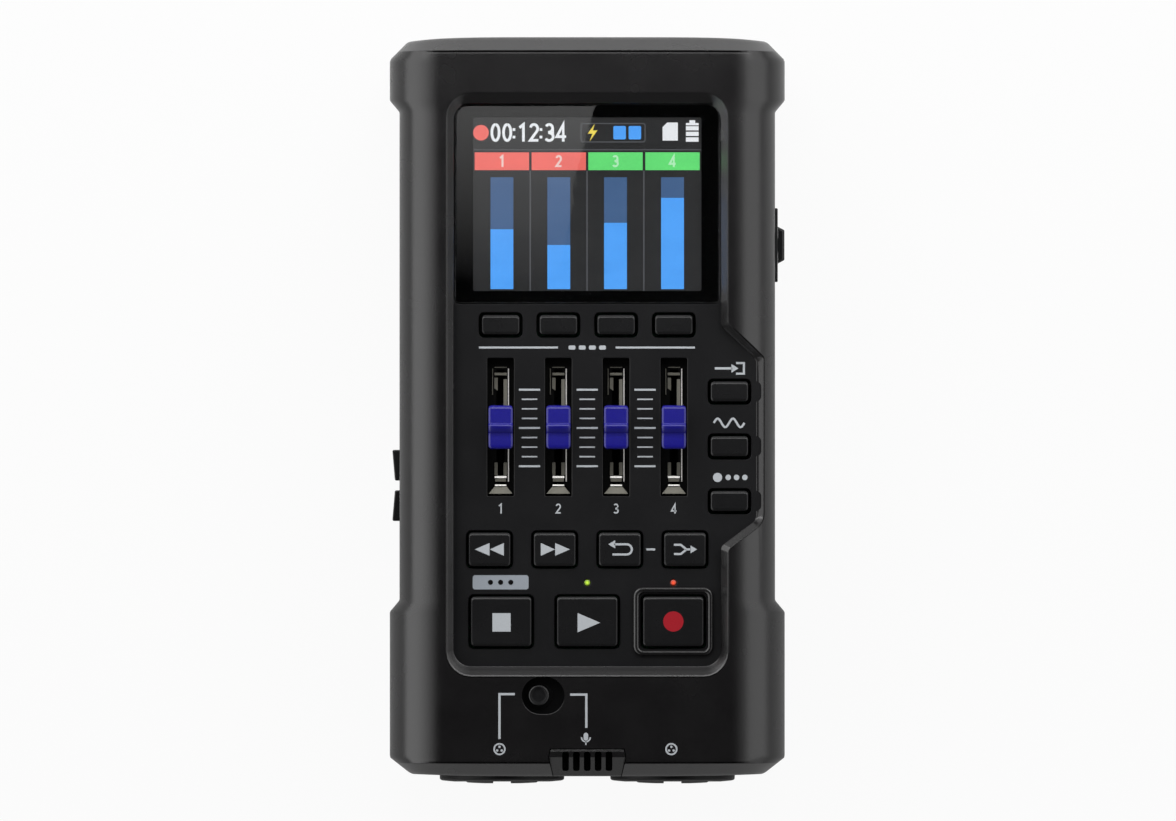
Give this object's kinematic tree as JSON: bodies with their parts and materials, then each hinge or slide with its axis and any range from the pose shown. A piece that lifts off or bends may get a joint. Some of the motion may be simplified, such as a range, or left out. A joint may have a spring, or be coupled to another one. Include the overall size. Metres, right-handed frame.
{
  "type": "digital multitrack recorder",
  "caption": "Handheld multitrack audio recorder: long rounded case with a display, sliding level faders, push keys, a side power slider and combination jacks at one end.",
  "frame": {"origin": "under the middle of the part, on the surface that its rubber feet stand on", "axes": "lying on its back: +Z out of the control face, +Y towards the display end, +X to the right of the controls"},
  "size_m": [0.0854, 0.1615, 0.048],
  "materials": {
    "casing": "fine satin",
    "panel": "matte",
    "keys": "satin",
    "window": "gloss",
    "display": "gloss",
    "holder": "matte",
    "board": "satin",
    "switch": "matte",
    "fader_cap": "satin",
    "fader_metal": "plain",
    "lever": "matte",
    "green_lamp": "clear",
    "red_lamp": "clear",
    "jack": "satin",
    "port_metal": "plain",
    "cells": "printed sleeve",
    "contact": "plated",
    "speaker": "matte",
    "screw": "blackened",
    "foot": "matte"
  },
  "bodies": {
    "casing": {"front_casing": "casing", "rear_casing": "casing", "mic_grille": "casing", "control_panel": "panel", "display_window": "window", "lcd_module": "display", "lcd_holder": "holder", "main_board": "board", "jack_board": "board", "key_switches": "switch", "play_lamp": "green_lamp", "record_lamp": "red_lamp", "selector_switch": "switch", "power_plate": "panel", "power_switch": "switch", "combo_jack_a": "jack", "combo_jack_b": "jack", "jack_insert_a": "jack", "jack_insert_b": "jack", "mic_capsule": "port_metal", "phones_jack": "jack", "usb_socket": "port_metal", "card_socket": "port_metal", "speaker": "speaker", "battery_cells": "cells", "battery_contacts": "contact", "casing_screws": "screw", "board_screws": "screw", "rubber_feet": "foot", "fader_housing_1": "fader_metal", "fader_housing_2": "fader_metal", "fader_housing_3": "fader_metal", "fader_housing_4": "fader_metal"},
    "track_key_1": {"track_key_1": "keys"},
    "track_key_2": {"track_key_2": "keys"},
    "track_key_3": {"track_key_3": "keys"},
    "track_key_4": {"track_key_4": "keys"},
    "input_key": {"input_key": "keys"},
    "effect_key": {"effect_key": "keys"},
    "rhythm_key": {"rhythm_key": "keys"},
    "rewind_key": {"rewind_key": "keys"},
    "forward_key": {"forward_key": "keys"},
    "undo_key": {"undo_key": "keys"},
    "bounce_key": {"bounce_key": "keys"},
    "stop_key": {"stop_key": "keys"},
    "play_key": {"play_key": "keys"},
    "record_key": {"record_key": "keys"},
    "volume_up_key": {"volume_up_key": "keys"},
    "volume_down_key": {"volume_down_key": "keys"},
    "fader_1": {"fader_cap_1": "fader_cap", "fader_lever_1": "lever"},
    "fader_2": {"fader_cap_2": "fader_cap", "fader_lever_2": "lever"},
    "fader_3": {"fader_cap_3": "fader_cap", "fader_lever_3": "lever"},
    "fader_4": {"fader_cap_4": "fader_cap", "fader_lever_4": "lever"},
    "selector": {"selector_knob": "keys"},
    "power_slider": {"power_knob": "keys"},
    "battery_cover": {"battery_cover": "casing"}
  },
  "joints": [
    {"name": "track_key_1_press", "type": "slide", "parent": "casing", "child": "track_key_1", "axis": [0, 0, -1], "range_m": [0, 0.0006], "stiffness_N_per_m": 800},
    {"name": "track_key_2_press", "type": "slide", "parent": "casing", "child": "track_key_2", "axis": [0, 0, -1], "range_m": [0, 0.0006], "stiffness_N_per_m": 800},
    {"name": "track_key_3_press", "type": "slide", "parent": "casing", "child": "track_key_3", "axis": [0, 0, -1], "range_m": [0, 0.0006], "stiffness_N_per_m": 800},
    {"name": "track_key_4_press", "type": "slide", "parent": "casing", "child": "track_key_4", "axis": [0, 0, -1], "range_m": [0, 0.0006], "stiffness_N_per_m": 800},
    {"name": "input_key_press", "type": "slide", "parent": "casing", "child": "input_key", "axis": [0, 0, -1], "range_m": [0, 0.0006], "stiffness_N_per_m": 800},
    {"name": "effect_key_press", "type": "slide", "parent": "casing", "child": "effect_key", "axis": [0, 0, -1], "range_m": [0, 0.0006], "stiffness_N_per_m": 800},
    {"name": "rhythm_key_press", "type": "slide", "parent": "casing", "child": "rhythm_key", "axis": [0, 0, -1], "range_m": [0, 0.0006], "stiffness_N_per_m": 800},
    {"name": "rewind_key_press", "type": "slide", "parent": "casing", "child": "rewind_key", "axis": [0, 0, -1], "range_m": [0, 0.0006], "stiffness_N_per_m": 800},
    {"name": "forward_key_press", "type": "slide", "parent": "casing", "child": "forward_key", "axis": [0, 0, -1], "range_m": [0, 0.0006], "stiffness_N_per_m": 800},
    {"name": "undo_key_press", "type": "slide", "parent": "casing", "child": "undo_key", "axis": [0, 0, -1], "range_m": [0, 0.0006], "stiffness_N_per_m": 800},
    {"name": "bounce_key_press", "type": "slide", "parent": "casing", "child": "bounce_key", "axis": [0, 0, -1], "range_m": [0, 0.0006], "stiffness_N_per_m": 800},
    {"name": "stop_key_press", "type": "slide", "parent": "casing", "child": "stop_key", "axis": [0, 0, -1], "range_m": [0, 0.0006], "stiffness_N_per_m": 800},
    {"name": "play_key_press", "type": "slide", "parent": "casing", "child": "play_key", "axis": [0, 0, -1], "range_m": [0, 0.0006], "stiffness_N_per_m": 800},
    {"name": "record_key_press", "type": "slide", "parent": "casing", "child": "record_key", "axis": [0, 0, -1], "range_m": [0, 0.0006], "stiffness_N_per_m": 800},
    {"name": "volume_up_key_press", "type": "slide", "parent": "casing", "child": "volume_up_key", "axis": [1, 0, 0], "range_m": [0, 0.00045], "stiffness_N_per_m": 800},
    {"name": "volume_down_key_press", "type": "slide", "parent": "casing", "child": "volume_down_key", "axis": [1, 0, 0], "range_m": [0, 0.00045], "stiffness_N_per_m": 800},
    {"name": "fader_1_slide", "type": "slide", "parent": "casing", "child": "fader_1", "axis": [0, 1, 0], "range_m": [-0.01, 0.01]},
    {"name": "fader_2_slide", "type": "slide", "parent": "casing", "child": "fader_2", "axis": [0, 1, 0], "range_m": [-0.01, 0.01]},
    {"name": "fader_3_slide", "type": "slide", "parent": "casing", "child": "fader_3", "axis": [0, 1, 0], "range_m": [-0.01, 0.01]},
    {"name": "fader_4_slide", "type": "slide", "parent": "casing", "child": "fader_4", "axis": [0, 1, 0], "range_m": [-0.01, 0.01]},
    {"name": "selector_slide", "type": "slide", "parent": "casing", "child": "selector", "axis": [1, 0, 0], "range_m": [0, 0.0019]},
    {"name": "power_slide", "type": "slide", "parent": "casing", "child": "power_slider", "axis": [0, 1, 0], "range_m": [-0.0035, 0.0035]},
    {"name": "battery_cover_lift", "type": "slide", "parent": "casing", "child": "battery_cover", "axis": [0, 0, -1], "range_m": [0, 0.025]}
  ]
}
